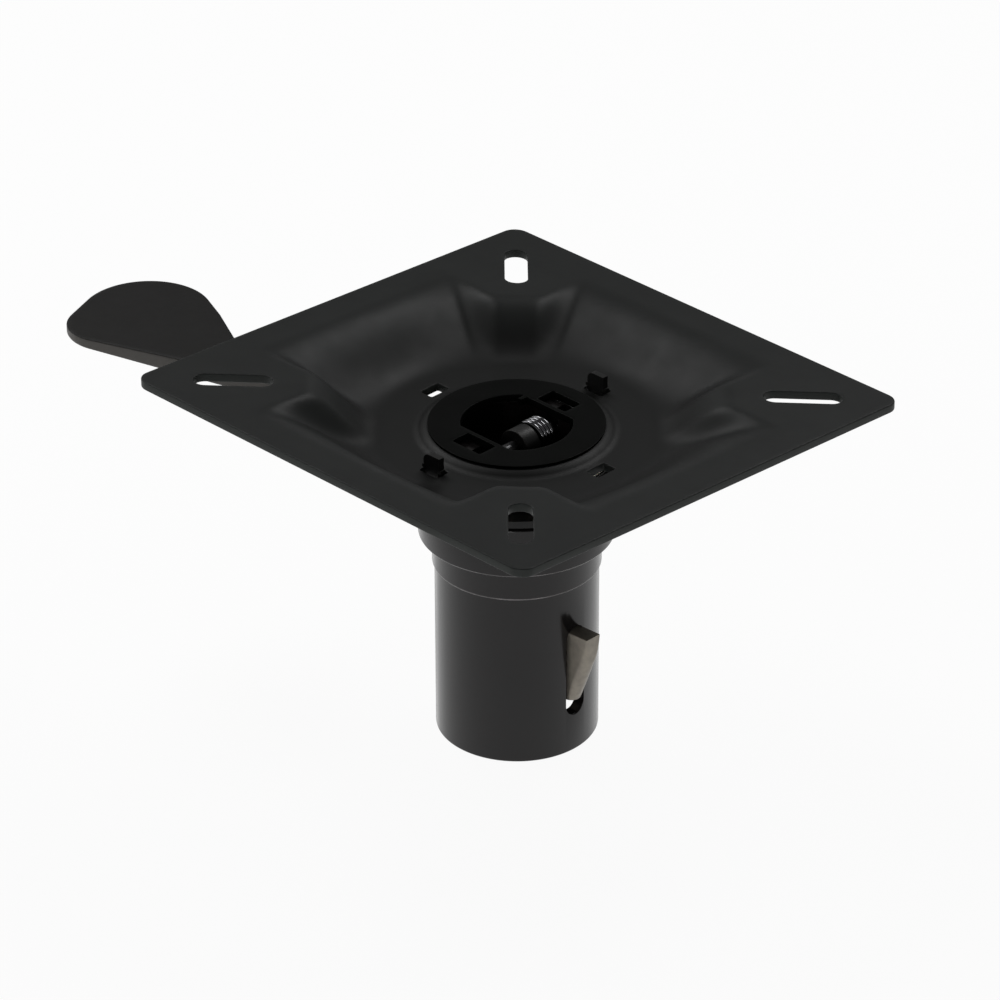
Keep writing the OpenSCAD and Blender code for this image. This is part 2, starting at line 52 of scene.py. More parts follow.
# Camera and studio: a long lens above the right front corner, a white sweep under and behind
# the mount, two soft lamps high behind it and two strips at its sides, in a dim room.
CAMERA_AZIMUTH = math.radians(44.831)
CAMERA_ELEVATION = math.radians(30.164)
CAMERA_ROLL = math.radians(-0.19)
CAMERA_DISTANCE = 1751.1
CAMERA_LENS = 192.69
AIM_RIGHT = -5.44
AIM_UP = -36.15
AIM_HEIGHT = 127.4
CAMERA_SENSOR_W = 36
CLIP_NEAR, CLIP_FAR = 0.05, 20
SWEEP_HALF = 3.0
SWEEP_LIFT = 0.94
ROOM_WALL, ROOM_TOP = 0.36, 0.11
ROOM_WALL_END, ROOM_TOP_START = 0.2, 0.7
# Each lamp's name, place, aim, size and power
LAMPS = [("right_back_softbox", (-100, 730, 940), (0, 0, 100), (380, 380), 3.6),
         ("left_back_softbox", (-730, 100, 940), (0, 0, 100), (380, 380), 3.6),
         ("left_strip", (-1000, -500, 300), (-250, -150, 0), (300, 900), 2.5),
         ("right_strip", (700, -1000, 260), (150, -200, 0), (160, 700), 3)]


def make_camera():
    a, e = CAMERA_AZIMUTH, CAMERA_ELEVATION
    back = Vector((math.sin(a) * math.cos(e), -math.cos(a) * math.cos(e), math.sin(e)))
    level = Vector((0, 0, 1)).cross(back).normalized()
    upright = back.cross(level)
    right = level * math.cos(CAMERA_ROLL) + upright * math.sin(CAMERA_ROLL)
    up = upright * math.cos(CAMERA_ROLL) - level * math.sin(CAMERA_ROLL)
    place = back * CAMERA_DISTANCE + right * AIM_RIGHT + up * AIM_UP + Vector((0, 0, AIM_HEIGHT))
    data = bpy.data.cameras.new("camera")
    data.lens = CAMERA_LENS
    data.sensor_width = CAMERA_SENSOR_W
    data.clip_start, data.clip_end = CLIP_NEAR, CLIP_FAR
    camera = bpy.data.objects.new("camera", data)
    turn = Matrix((right, up, back)).transposed().to_4x4()
    camera.matrix_world = Matrix.Translation(place * MM) @ turn
    scene.collection.objects.link(camera)
    scene.camera = camera


def srgb(code):
    """A hex colour as linear red, green, blue and alpha."""
    parts = [int(code[i:i + 2], 16) / 255 for i in (1, 3, 5)]
    return [p / 12.92 if p <= 0.04045 else ((p + 0.055) / 1.055) ** 2.4 for p in parts] + [1]


def add(tree, kind, inputs=None, **settings):
    """Adds a node to a tree, with its settings, and values or links on its inputs."""
    made = tree.nodes.new(kind)
    for name, value in settings.items():
        setattr(made, name, value)
    for name, value in (inputs or {}).items():
        if isinstance(value, bpy.types.NodeSocket):
            tree.links.new(value, made.inputs[name])
        else:
            made.inputs[name].default_value = value
    return made


def reckon(tree, operation, *values):
    """The socket of a sum worked out on values or sockets."""
    return add(tree, "ShaderNodeMath", dict(enumerate(values)), operation=operation).outputs[0]


def spread(tree, value, start, end, low, high):
    """The socket of a value that runs from start to end, spread from low to high."""
    return add(tree, "ShaderNodeMapRange", {"Value": value, "From Min": start, "From Max": end,
                                            "To Min": low, "To Max": high}).outputs[0]


def soft_lamp(name, place, aim, size, power):
    data = bpy.data.lights.new(name, "AREA")
    data.shape = "RECTANGLE"
    data.size, data.size_y = size[0] * MM, size[1] * MM
    data.energy = power
    lamp = bpy.data.objects.new(name, data)
    lamp.location = Vector(place) * MM
    lamp.rotation_euler = (Vector(aim) - Vector(place)).to_track_quat("-Z", "Y").to_euler()
    scene.collection.objects.link(lamp)


def white_paper():
    """White sweep: paper that takes the lamps and the mount's shadow, and is lifted to the
    picture's white where the camera, a gloss face or glass looks at it."""
    paper = bpy.data.materials.new("white_sweep")
    paper.use_nodes = True
    tree = paper.node_tree
    tree.nodes.clear()
    rays = add(tree, "ShaderNodeLightPath").outputs
    lit = add(tree, "ShaderNodeBsdfDiffuse", {"Color": srgb("#f4f4f4")})
    glow = add(tree, "ShaderNodeEmission", {"Color": (1, 1, 1, 1), "Strength": 1.0})
    through = reckon(tree, "MAXIMUM", rays["Is Glossy Ray"], rays["Is Transmission Ray"])
    seen = reckon(tree, "MAXIMUM", rays["Is Camera Ray"], through)
    share = reckon(tree, "MULTIPLY", seen, SWEEP_LIFT)
    mixed = add(tree, "ShaderNodeMixShader", {0: share, 1: lit.outputs[0], 2: glow.outputs[0]})
    add(tree, "ShaderNodeOutputMaterial", {"Surface": mixed.outputs[0]})
    return paper


def make_studio():
    half = SWEEP_HALF
    mesh = bpy.data.meshes.new("floor")
    mesh.from_pydata([(-half, -half, 0), (half, -half, 0), (half, half, 0), (-half, half, 0)],
                     [], [(0, 1, 2, 3)])
    floor = bpy.data.objects.new("floor", mesh)
    scene.collection.objects.link(floor)
    mesh.materials.append(white_paper())
    world = bpy.data.worlds.new("studio")
    scene.world = world
    world.use_nodes = True
    tree = world.node_tree
    tree.nodes.clear()
    # The room is a soft dome, brighter at its walls than overhead
    way = add(tree, "ShaderNodeTexCoord")
    height = add(tree, "ShaderNodeSeparateXYZ", {0: way.outputs["Generated"]})
    level = spread(tree, height.outputs["Z"], ROOM_WALL_END, ROOM_TOP_START, ROOM_WALL, ROOM_TOP)
    room = add(tree, "ShaderNodeBackground", {"Color": (1, 1, 1, 1), "Strength": level})
    add(tree, "ShaderNodeOutputWorld", {"Surface": room.outputs[0]})
    for lamp in LAMPS:
        soft_lamp(*lamp)
    scene.view_settings.view_transform = "Standard"


make_camera()
make_studio()

# Seat plate: one stamped sheet of 3 mm steel under a matt black powder coat, with a lobed
# dish pressed into it, four bolt slots on the diagonals, four windows and a hub hole.
PLATE_W = 177.8
PLATE_T = 3.0
PLATE_CORNER = 5.5
PLATE_H = 127.4
PLATE_LEAN = math.radians(3.2)
FLOOR_H = 112.4
FLOOR_R = 45.0
DISH_HALF = 77.5
LOBE_R = 89.5
TONGUE_R = 71.0
TONGUE_A = 5.0
LOBE_A = 17.0
SLOT_PITCH = 132.0
SLOT_L = 26.0
SLOT_W = 7.9
HUB_HOLE_R = 26.26
HUB_RISE = 1.9
HUB_RISE_IN, HUB_RISE_OUT = 29.8, 33.6
WINDOW_R = 38.3
WINDOW_L = 5.2
WINDOW_W = 8.0
WINDOW_CORNER = 0.6
PLATE_EDGE = 0.4
PLATE_MESH, PLATE_ROWS, ROW_TWIST = 1.5, 1.4, 0.3
FILL_CLEAR = 0.7
TRACE, WELD = 1e-6, 1e-7
NOISE_LOW, NOISE_HIGH = 0.3, 0.7


def smooth_step(t):
    return (1 - np.cos(np.pi * np.clip(t, 0, 1))) / 2


def rounded(corners, steps=6):
    """A closed line through corners given as (x, y, radius), each with its round."""
    points = []
    count = len(corners)
    for i, (x, y, radius) in enumerate(corners):
        here = np.array((x, y), float)
        before = np.array(corners[i - 1][:2], float) - here
        after = np.array(corners[(i + 1) % count][:2], float) - here
        if radius <= 0:
            points.append(here)
            continue
        before /= np.linalg.norm(before)
        after /= np.linalg.norm(after)
        half = math.acos(np.clip(before @ after, -1, 1)) / 2
        centre = here + (before + after) / np.linalg.norm(before + after) * radius / math.sin(half)
        first = here + before * radius / math.tan(half) - centre
        last = here + after * radius / math.tan(half) - centre
        a0 = math.atan2(first[1], first[0])
        swing = (math.atan2(last[1], last[0]) - a0 + math.pi) % (2 * math.pi) - math.pi
        for k in range(steps + 1):
            a = a0 + swing * k / steps
            points.append(centre + radius * np.array((math.cos(a), math.sin(a))))
    return np.array(points)


def turned_plan(points, angle, move=(0, 0)):
    """Plan points moved, then turned about the swivel axis."""
    c, s = math.cos(angle), math.sin(angle)
    return (np.asarray(points) + np.array(move)) @ np.array(((c, s), (-s, c)))


def ring_plan(radius, count, start=0.0):
    a = start + np.linspace(0, 2 * math.pi, count, endpoint=False)
    return np.stack((radius * np.cos(a), radius * np.sin(a)), 1)


def filled_in(loop, spacing):
    """The same closed line with no gap between points longer than spacing."""
    points = []
    for here, there in zip(loop, np.roll(loop, -1, 0)):
        parts = max(1, math.ceil(np.linalg.norm(there - here) / spacing))
        points += [here + (there - here) * k / parts for k in range(parts)]
    return np.array(points)


def rounded_box(x0, y0, x1, y1, radius, steps, spacing):
    corners = [(x1, y0, radius), (x1, y1, radius), (x0, y1, radius), (x0, y0, radius)]
    return filled_in(rounded(corners, steps), spacing)


def grid_plan(x0, x1, y0, y1, step):
    xs, ys = np.meshgrid(np.arange(x0, x1, step), np.arange(y0, y1, step))
    return np.stack((xs.ravel(), ys.ravel()), 1)


def outward(loop):
    """Outward unit normals of a counterclockwise closed line."""
    along = np.roll(loop, -1, 0) - loop
    along /= np.linalg.norm(along, axis=1)[:, None]
    mean = along + np.roll(along, 1, 0)
    mean /= np.linalg.norm(mean, axis=1)[:, None]
    return np.stack((mean[:, 1], -mean[:, 0]), 1)


def inside(points, loop):
    x, y = points[:, 0], points[:, 1]
    held = np.zeros(len(points), bool)
    for (x0, y0), (x1, y1) in zip(loop, np.roll(loop, -1, 0)):
        if y0 == y1:
            continue
        crossing = (y0 > y) != (y1 > y)
        held ^= crossing & (x < (x1 - x0) * (y - y0) / (y1 - y0) + x0)
    return held


def slab(outer, holes, fill, lift, thickness, edge, round_steps=4):
    """A pierced slab with rounded edges. outer and holes are counterclockwise closed lines in
    plan, fill are plan points for its faces, and lift(points, share) places plan points at a
    share of the thickness, 0 on the top face. edge is the radius of the round."""
    loops = [np.asarray(outer)] + [np.asarray(h) for h in holes]
    normals = [outward(loop) for loop in loops]
    turns = [math.pi / 2 * k / round_steps for k in range(round_steps + 1)]

    def layer(i, turn, from_top):
        side = -1 if i == 0 else 1
        plan = loops[i] + side * normals[i] * edge * (1 - math.sin(turn))
        depth = edge * (1 - math.cos(turn)) / thickness
        return plan, np.full(len(plan), depth if from_top else 1 - depth)

    def solid(points):
        """Which points lie within the outer line and outside the holes."""
        held = inside(points, layer(0, 0, True)[0])
        for i in range(1, len(loops)):
            held &= ~inside(points, layer(i, 0, True)[0])
        return held

    rim = np.concatenate([layer(i, 0, True)[0] for i in range(len(loops))])
    tree = kdtree.KDTree(len(rim))
    for i, p in enumerate(rim):
        tree.insert((p[0], p[1], 0), i)
    tree.balance()
    fill = np.asarray(fill, float)
    fill = fill[solid(fill)]
    fill = fill[[tree.find((p[0], p[1], 0))[2] > FILL_CLEAR for p in fill]]
    plan = np.concatenate((rim, fill))
    edges, start = [], 0
    for loop in loops:
        n = len(loop)
        edges += [(start + k, start + (k + 1) % n) for k in range(n)]
        start += n
    made = delaunay_2d_cdt([Vector(p) for p in plan], edges, [], 0, TRACE)
    order = [o[0] for o in made[3]]
    triangles = np.array([[order[v] for v in face] for face in made[2]])
    triangles = triangles[solid(plan[triangles].mean(1))]
    verts = [lift(plan, np.zeros(len(plan))), lift(plan, np.ones(len(plan)))]
    faces = [tuple(t) for t in triangles]
    faces += [tuple(len(plan) + v for v in t[::-1]) for t in triangles]
    count, start = 2 * len(plan), 0
    for i, loop in enumerate(loops):
        n = len(loop)
        rows = [list(range(start, start + n))]
        steps = [(t, True) for t in turns[1:]] + [(t, False) for t in turns[::-1][:-1]]
        for turn, from_top in steps:
            verts.append(lift(*layer(i, turn, from_top)))
            rows.append(list(range(count, count + n)))
            count += n
        rows.append([len(plan) + v for v in range(start, start + n)])
        for upper, lower in zip(rows, rows[1:]):
            faces += [(upper[k], lower[k], lower[(k + 1) % n], upper[(k + 1) % n])
                      for k in range(n)]
        start += n
    return np.concatenate(verts), faces


def joined(*parts):
    """Several (points, faces) shells as one."""
    verts, faces, count = [], [], 0
    for points, polygons in parts:
        verts.append(np.asarray(points))
        faces += [tuple(count + v for v in polygon) for polygon in polygons]
        count += len(points)
    return np.concatenate(verts), faces


def make_mesh(name, shell):
    """A mesh in metres from a shell of (points, faces) in millimetres."""
    mesh = bpy.data.meshes.new(name)
    points, faces = shell
    mesh.from_pydata([tuple(p) for p in np.asarray(points) * MM], [], faces)
    work = bmesh.new()
    work.from_mesh(mesh)
    bmesh.ops.remove_doubles(work, verts=work.verts, dist=WELD)
    bmesh.ops.dissolve_degenerate(work, edges=work.edges, dist=WELD)
    bmesh.ops.recalc_face_normals(work, faces=work.faces)
    work.to_mesh(mesh)
    work.free()
    return mesh


def finish_piece(mesh, name, body, paint, nodes, sharp=35):
    """Puts a finished piece in the scene, in place of the frame's nodes. A piece whose body is
    None is left without a body."""
    mesh.shade_smooth()
    mesh.set_sharp_from_angle(angle=math.radians(sharp))
    mesh.materials.clear()
    mesh.materials.append(paint)
    made = bpy.data.objects.new(name, mesh)
    scene.collection.objects.link(made)
    if body:
        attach(made, body)
    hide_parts(*nodes)
    return made


def grain(tree, place, size, low, high, detail=3.0):
    """Fine noise of a real grain size in millimetres, spread between two values."""
    noise = add(tree, "ShaderNodeTexNoise",
                {"Vector": place, "Scale": 1 / (size * MM), "Detail": detail})
    return spread(tree, noise.outputs["Fac"], NOISE_LOW, NOISE_HIGH, low, high)


def surface(name, colour_low, colour_high, patch, rough, bump_size, bump_depth, **sockets):
    """A principled surface: colour drifts between two hex tones over patches of a real size,
    roughness drifts between two values, and a fine bump has its grain size and depth."""
    made = bpy.data.materials.new(name)
    made.use_nodes = True
    tree = made.node_tree
    tree.nodes.clear()
    place = add(tree, "ShaderNodeTexCoord").outputs["Object"]
    tone = add(tree, "ShaderNodeMix", {"Factor": grain(tree, place, patch, 0, 1),
                                       6: srgb(colour_low), 7: srgb(colour_high)}, data_type="RGBA")
    fine = add(tree, "ShaderNodeTexNoise",
               {"Vector": place, "Scale": 1 / (bump_size * MM), "Detail": 2.0})
    bump = add(tree, "ShaderNodeBump", {"Height": fine.outputs["Fac"], "Strength": 0.6,
                                        "Distance": bump_depth * MM})
    inputs = {"Base Color": tone.outputs[2], "Normal": bump.outputs[0],
              "Roughness": grain(tree, place, patch * 0.6, rough[0], rough[1])}
    skin = add(tree, "ShaderNodeBsdfPrincipled", inputs | sockets)
    add(tree, "ShaderNodeOutputMaterial", {"Surface": skin.outputs[0]})
    return made


def dish_share(x, y):
    """How far up the dish's wall a plan point lies: 0 on the floor, 1 on the flat rim."""
    r = np.hypot(x, y)
    d = np.abs((np.degrees(np.arctan2(y, x)) + 360) % 90 - 45)
    side = np.minimum(DISH_HALF / np.cos(np.radians(45 - d)), LOBE_R)
    out = TONGUE_R + (side - TONGUE_R) * smooth_step((d - TONGUE_A) / (LOBE_A - TONGUE_A))
    return smooth_step((r - FLOOR_R) / (out - FLOOR_R))


def lift_plate(plan, share):
    x, y = plan[:, 0], plan[:, 1]
    s = dish_share(x, y)
    rim = PLATE_H - y * math.sin(PLATE_LEAN)
    shift = (PLATE_H - FLOOR_H) * math.sin(PLATE_LEAN)
    seat = 1 - smooth_step((np.hypot(x, y) - HUB_RISE_IN) / (HUB_RISE_OUT - HUB_RISE_IN))
    z = FLOOR_H + s * (rim - FLOOR_H) + seat * HUB_RISE - share * PLATE_T
    return np.stack((x, y * (1 + s * (math.cos(PLATE_LEAN) - 1)) + s * shift, z), 1)


def plate_shell():
    half = PLATE_W / 2
    outline = rounded_box(-half, -half, half, half, PLATE_CORNER, 12, 2.0)
    # A hair less than half the slot's width keeps a short straight at its ends
    slot = rounded_box(-SLOT_L / 2, -SLOT_W / 2, SLOT_L / 2, SLOT_W / 2,
                       SLOT_W / 2 * 0.998, 10, 1.5)
    window = rounded_box(-WINDOW_L / 2, -WINDOW_W / 2, WINDOW_L / 2, WINDOW_W / 2,
                         WINDOW_CORNER, 4, 1.2)
    holes = [ring_plan(HUB_HOLE_R, 180)]
    for quarter in range(4):
        a = quarter * math.pi / 2
        holes.append(turned_plan(window, a, (WINDOW_R, 0)))
        holes.append(turned_plan(slot, a + math.pi / 4, (SLOT_PITCH / math.sqrt(2), 0)))
    reach = half * 1.42
    fill = [ring_plan(r, max(60, int(2 * math.pi * r / PLATE_MESH)), ROW_TWIST * r)
            for r in np.arange(HUB_HOLE_R + PLATE_MESH, reach, PLATE_ROWS)]
    return slab(outline, holes, np.concatenate(fill), lift_plate, PLATE_T, PLATE_EDGE)


# Powder coat: a dull, slightly mottled black skin with an orange-peel grain under half a
# millimetre, which takes a broad grey sheen from the lamps.
# How far, in millimetres, the painted shade of the dish floor fades in above the floor and below
# the rim
FLOOR_SHADE_FADE = 3


def skin_of(tree):
    return next(n for n in tree.nodes if n.type == "BSDF_PRINCIPLED")


def tone_mix(paint, share, colour):
    """Lays another tone over a surface's own colour, by a share from 0 to 1."""
    tree = paint.node_tree
    own = skin_of(tree).inputs["Base Color"]
    mixed = add(tree, "ShaderNodeMix", {"Factor": share, 6: own.links[0].from_socket,
                                        7: srgb(colour)}, data_type="RGBA")
    tree.links.new(mixed.outputs[2], own)


def paint_edge_highlight(paint, colour):
    """Paints a highlight on a flat piece's upright edges: they are mixed paler than its faces."""
    tree = paint.node_tree
    normal = add(tree, "ShaderNodeTexCoord").outputs["Normal"]
    facing = add(tree, "ShaderNodeSeparateXYZ", {0: normal})
    level = reckon(tree, "ABSOLUTE", facing.outputs["Z"])
    tone_mix(paint, spread(tree, level, 0.3, 0.8, 0.8, 0), colour)


def plate_finish():
    """Matt black powder coat, with painted shade that makes it darker on the dish floor than on the
    rim.
    """
    made = surface("matt_powder_coat", "#141615", "#191b1a", 14, (0.45, 0.5), 0.7, 0.012,
                   **{"Specular IOR Level": 0.16})
    tree = made.node_tree
    place = add(tree, "ShaderNodeTexCoord").outputs["Object"]
    height = add(tree, "ShaderNodeSeparateXYZ", {0: place})
    depth = spread(tree, height.outputs["Z"], (FLOOR_H + FLOOR_SHADE_FADE) * MM,
                   (PLATE_H - FLOOR_SHADE_FADE) * MM, 1, 0)
    # Painted shade: the coat is mixed blacker down in the dish, where less light falls
    tone_mix(made, depth, "#0b0c0b")
    # Painted highlight: the sheet's upright edges are mixed paler
    paint_edge_highlight(made, "#2d302e")
    return made


plate_coat = plate_finish()
finish_piece(make_mesh("stamped_plate", plate_shell()), "stamped_plate", "plate_body",
             plate_coat, ["seat_plate"])

# Stem: one gloss black moulding. A tube with a step ring and a collar, a slot for the latch,
# and, under the plate, a notched locking flange and the neck that the plate turns on.
TUBE_R = 27.5
BORE_R = 23.5
RING_H, RING_R = 63.7, 28.3
COLLAR_H, COLLAR_R = 75.2, 32.9
RELIEF_LOW, RELIEF_R = 93.0, 28.6
FLANGE_LOW, FLANGE_TOP, FLANGE_R = 99.4, 106.5, 33.5
NECK_R, NECK_TOP = 26.2, 112.5
NOTCH_COUNT, NOTCH_W, NOTCH_T = 12, 7.4, 2.9
NOTCH_IN_R, NOTCH_OUT_R = 28.9, 36
SLOT_MIDDLE, LATCH_SLOT_L, LATCH_SLOT_W = 31.2, 33.8, 8.3
PIN_X, PIN_H, PIN_R = 2.0, 107.5, 2.5
BOSS_IN, BOSS_HALF_W, BOSS_LOW = 14.6, 8.2, 96.5
BOSS_OUT, BOSS_TOP = BORE_R - 0.6, NECK_TOP - 0.02
FIT_PLAY = 0.05
EDGE_LINE, EDGE_LIFT = 0.42, 0.25
# The latch slot's flare from the bore outwards: radius, and how far the slot grows there
SLOT_FLARE = [(BORE_R - 4, 0.0), (TUBE_R - 0.7, 0.0), (TUBE_R - 0.25, 0.12), (TUBE_R + 0.3, 0.75)]


def turned(profile, steps):
    """A closed profile of (radius, height) points turned about the swivel axis."""
    n = len(profile)
    a = np.linspace(0, 2 * math.pi, steps, endpoint=False)
    points = np.stack([np.outer(np.cos(a), profile[:, 0]), np.outer(np.sin(a), profile[:, 0]),
                       np.broadcast_to(profile[:, 1], (steps, n))], 2).reshape(-1, 3)
    faces = []
    for i in range(steps):
        here, there = i * n, (i + 1) % steps * n
        faces += [(here + k, here + (k + 1) % n, there + (k + 1) % n, there + k) for k in range(n)]
    return points, faces


def lofted(rows):
    """A closed skin over rows of as many points each, with a flat face at either end."""
    n = len(rows[0])
    faces = [tuple(range(n))[::-1], tuple(range((len(rows) - 1) * n, len(rows) * n))]
    for start in range(0, (len(rows) - 1) * n, n):
        faces += [(start + k, start + (k + 1) % n, start + n + (k + 1) % n, start + n + k)
                  for k in range(n)]
    return np.concatenate(rows), faces


def prism(outline, low, high, place=lambda x, y, z: (x, y, z)):
    """A closed plan outline drawn out between two heights; place puts (x, y, height) points."""
    return lofted([np.array([place(x, y, z) for x, y in outline]) for z in (low, high)])


def cut_away(mesh, shell):
    """The mesh with the closed shell cut out of it."""
    body = bpy.data.objects.new("cut_body", mesh)
    tool = bpy.data.objects.new("cut_tool", make_mesh("cut_tool", shell))
    for item in (body, tool):
        scene.collection.objects.link(item)
    step = body.modifiers.new("cut", "BOOLEAN")
    step.operation = "DIFFERENCE"
    step.solver = "EXACT"
    step.use_self = True
    step.object = tool
    graph = bpy.context.evaluated_depsgraph_get()
    result = bpy.data.meshes.new_from_object(body.evaluated_get(graph))
    for item in (body, tool):
        bpy.data.objects.remove(item)
    return result


def stem_shell():
    profile = rounded([(BORE_R, 0, 0.6), (TUBE_R, 0, 0.8), (TUBE_R, RING_H, 0.15),
                       (RING_R, RING_H, 0.35), (RING_R, COLLAR_H, 0.5),
                       (COLLAR_R, COLLAR_H, 0.7), (COLLAR_R, RELIEF_LOW, 0.6),
                       (RELIEF_R, RELIEF_LOW, 0.5), (RELIEF_R, FLANGE_LOW, 0.5),
                       (FLANGE_R, FLANGE_LOW, 0.4), (FLANGE_R, FLANGE_TOP, 0.4),
                       (NECK_R, FLANGE_TOP, 0.3), (NECK_R, NECK_TOP, 0.3),
                       (BORE_R, NECK_TOP, 0.3)], 5)
    return turned(profile, 240)


def stadium(length, width, steps=14):
    turns = [math.pi * k / steps for k in range(steps + 1)]
    reach = (length - width) / 2
    right = [(reach + width / 2 * math.sin(t), -width / 2 * math.cos(t)) for t in turns]
    left = [(-reach - width / 2 * math.sin(t), width / 2 * math.cos(t)) for t in turns]
    return right + left


def latch_slot_cutter():
    """The slot through the wall, flared where it meets the outside, as a moulded edge is."""
    rows = []
    for x, grow in SLOT_FLARE:
        outline = stadium(LATCH_SLOT_L + 2 * grow, LATCH_SLOT_W + 2 * grow)
        rows.append(np.array([(x, y, SLOT_MIDDLE + z) for z, y in outline]))
    return lofted(rows)


def notch_cutters():
    shells = []
    for i in range(NOTCH_COUNT):
        a = 2 * math.pi * i / NOTCH_COUNT
        box = turned_plan([(NOTCH_IN_R, -NOTCH_W / 2), (NOTCH_OUT_R, -NOTCH_W / 2),
                           (NOTCH_OUT_R, NOTCH_W / 2), (NOTCH_IN_R, NOTCH_W / 2)], a)
        shells.append(prism(box, FLANGE_LOW - 1, FLANGE_LOW + NOTCH_T))
    return joined(*shells)


def boss_shells():
    """The two bosses in the neck, each with a saddle for the latch pin."""
    w = PIN_R + FIT_PLAY
    turns = [math.pi * k / 12 for k in range(13)]
    saddle = [(PIN_X + w * math.cos(t), PIN_H - w * math.sin(t)) for t in turns]
    outline = [(PIN_X - BOSS_HALF_W, BOSS_LOW), (PIN_X + BOSS_HALF_W, BOSS_LOW),
               (PIN_X + BOSS_HALF_W, BOSS_TOP), (PIN_X + w, BOSS_TOP)]
    outline += saddle + [(PIN_X - w, BOSS_TOP), (PIN_X - BOSS_HALF_W, BOSS_TOP)]
    return joined(*[prism(outline, s * BOSS_IN, s * BOSS_OUT, lambda x, z, y: (x, y, z))
                    for s in (-1, 1)])


def stem_gloss():
    """Moulded black nylon: glossy, with soft upright flow marks from the mould and light
    scuffs, so its roughness runs in long streaks down the tube."""
    made = surface("gloss_moulded_nylon", "#121010", "#161414", 22, (0.2, 0.27), 1.4, 0.004,
                   **{"Specular IOR Level": 0.3})
    tree = made.node_tree
    place = add(tree, "ShaderNodeTexCoord").outputs["Object"]
    stretched = add(tree, "ShaderNodeMapping", {"Vector": place, "Scale": (1, 1, 0.12)})
    streak = grain(tree, stretched.outputs[0], 5, 0.15, 0.24)
    tree.links.new(streak, skin_of(tree).inputs["Roughness"])
    # Painted highlight: a thin light line is mixed in along the lower edges of the ring and the
    # collar
    height = add(tree, "ShaderNodeSeparateXYZ", {0: place})
    edge_glints = []
    for edge in (RING_H, COLLAR_H):
        off = reckon(tree, "SUBTRACT", height.outputs["Z"], (edge + EDGE_LIFT) * MM)
        far = reckon(tree, "ABSOLUTE", off)
        edge_glints.append(spread(tree, far, EDGE_LINE * MM / 3, EDGE_LINE * MM, 1, 0))
    broken = grain(tree, place, 6, 0.35, 1.0, 2.0)
    painted_glint = reckon(tree, "MULTIPLY", reckon(tree, "MAXIMUM", *edge_glints), broken)
    # The painted highlight, broken up by a grain, is mixed over the stem's own colour
    tone_mix(made, painted_glint, "#8c8889")
    return made


stem_paint = stem_gloss()
stem_mesh = cut_away(make_mesh("moulded_stem", stem_shell()),
                     joined(latch_slot_cutter(), notch_cutters()))
boss_mesh = make_mesh("stem_bosses", boss_shells())
work = bmesh.new()
work.from_mesh(stem_mesh)
work.from_mesh(boss_mesh)
work.to_mesh(stem_mesh)
work.free()
finish_piece(stem_mesh, "moulded_stem", "stem_body", stem_paint, ["stem"])

# Retainer cap: a satin black moulded disc that keeps the plate on its neck. Two skirts snap
# into the bore, and two feet hold the latch pin down.
CAP_R, CAP_T = 29.4, 2.7
CAP_HOLE_R, CAP_FLAT = 18.5, 14.4
CAP_BAR, CAP_WINDOW_W = 1.8, 12.6
CAP_LIP_T, CAP_EDGE = 0.75, 0.25
CAP_ROOT = 0.3
FOOT_T = 1.4
RIB_X, RIB_W, RIB_L = 9.6, 1.6, 2.6
SKIRT_L, SKIRT_T, SKIRT_HALF = 12.5, 2.2, 32


def cap_shell():
    corner = math.asin(CAP_FLAT / CAP_HOLE_R)
    arc = [(CAP_HOLE_R * math.cos(a), CAP_HOLE_R * math.sin(a))
           for a in np.linspace(-corner, corner, 24)]
    rib = [(-RIB_X, CAP_FLAT), (-RIB_X, CAP_FLAT - RIB_L), (-RIB_X - RIB_W, CAP_FLAT - RIB_L)]
    rib.append((-RIB_X - RIB_W, math.sqrt(CAP_HOLE_R ** 2 - (RIB_X + RIB_W) ** 2)))
    opening = filled_in(np.array(arc + rib + [(-x, -y) for x, y in arc]), 1.5)
    window = rounded_box(-CAP_WINDOW_W / 2, CAP_FLAT + CAP_BAR, CAP_WINDOW_W / 2, BORE_R,
                         0.5, 3, 1.2)
    holes = [opening, window, turned_plan(window, math.pi)]
    fill = [ring_plan(r, int(2 * math.pi * r / 1.6), r) for r in np.arange(15, CAP_R - 1, 1.5)]

    def lift(plan, share):
        over_lip = np.hypot(plan[:, 0], plan[:, 1]) > HUB_HOLE_R - 0.6
        thick = np.where(over_lip, CAP_LIP_T, CAP_T)
        return np.column_stack((plan, NECK_TOP + CAP_T - thick * share))

    disc = slab(ring_plan(CAP_R, 200), holes, np.concatenate(fill), lift, CAP_T, CAP_EDGE, 3)
    skirts = []
    outer = BORE_R - FIT_PLAY
    for start in (0, math.pi):
        a = start + np.radians(np.linspace(-SKIRT_HALF, SKIRT_HALF, 24))
        line = [((outer - SKIRT_T) * math.cos(t), (outer - SKIRT_T) * math.sin(t)) for t in a[::-1]]
        line = [(outer * math.cos(t), outer * math.sin(t)) for t in a] + line
        skirts.append(prism(line, NECK_TOP - SKIRT_L, NECK_TOP + CAP_ROOT))
    feet = []
    for s in (-1, 1):
        box = [(PIN_X - PIN_R, s * BOSS_IN), (PIN_X + PIN_R, s * BOSS_IN),
               (PIN_X + PIN_R, s * (BOSS_IN + FOOT_T)), (PIN_X - PIN_R, s * (BOSS_IN + FOOT_T))]
        feet.append(prism(box, PIN_H + PIN_R + FIT_PLAY, NECK_TOP + CAP_ROOT))
    return joined(disc, *skirts, *feet)


# Satin moulded plastic, a shade blacker and smoother than the plate, with a faint drift.
cap_paint = surface("satin_moulded_cap", "#060706", "#090a09", 12, (0.34, 0.42), 0.9, 0.004,
                    **{"Specular IOR Level": 0.03})
finish_piece(make_mesh("moulded_cap", cap_shell()), "moulded_cap", "stem_body",
             cap_paint, ["retainer_cap"])

